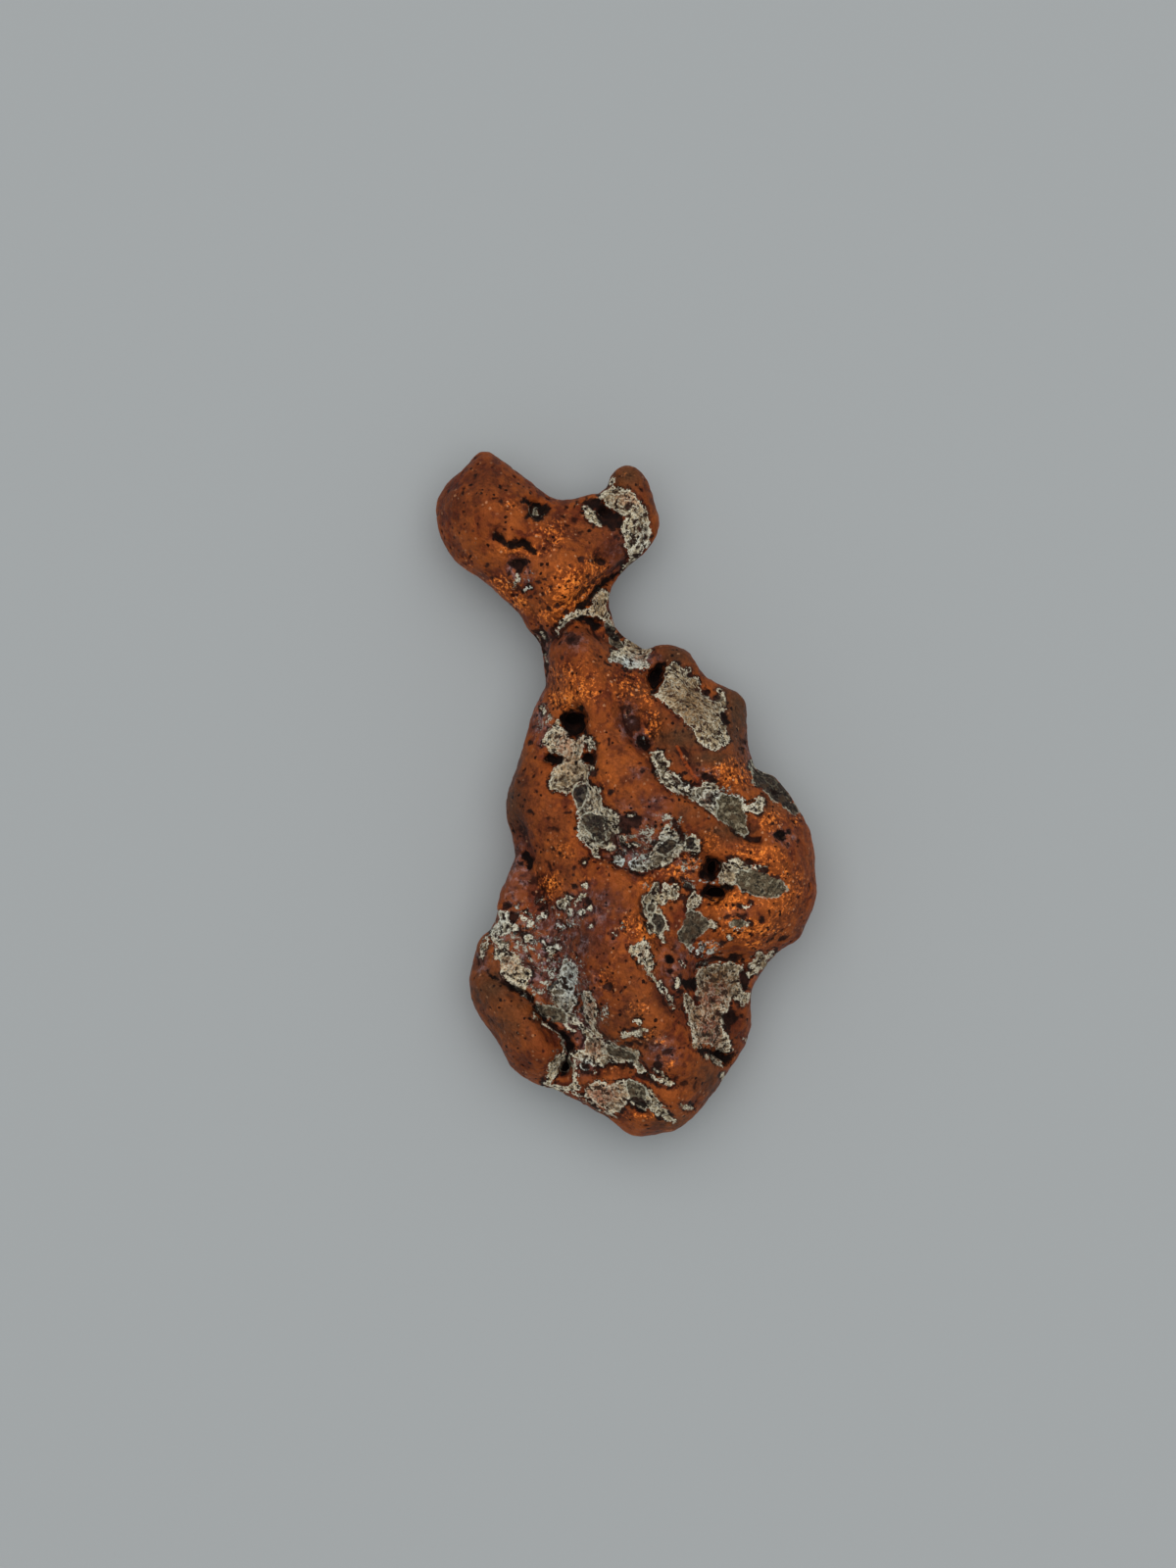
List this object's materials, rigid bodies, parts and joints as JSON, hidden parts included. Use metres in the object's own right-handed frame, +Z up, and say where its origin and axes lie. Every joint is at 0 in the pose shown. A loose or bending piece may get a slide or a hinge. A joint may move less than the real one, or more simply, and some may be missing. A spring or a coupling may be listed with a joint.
{
  "type": "native copper nugget",
  "caption": "Lumpy nugget of native copper with a round head, a curled horn, a pinched neck and a broad body, with pale crust and grey stone in its hollows.",
  "frame": {"origin": "under the middle of the nugget's box, on the surface that it rests on", "axes": "+Z up from the worn underside, +Y along the length towards the head"},
  "size_m": [0.039, 0.0702, 0.0163],
  "materials": {
    "copper": "worn natural copper, reddish brown to orange, with pale crust and grey stone in its hollows"
  },
  "bodies": {
    "root": {"native_copper_nugget": "copper"}
  },
  "joints": []
}
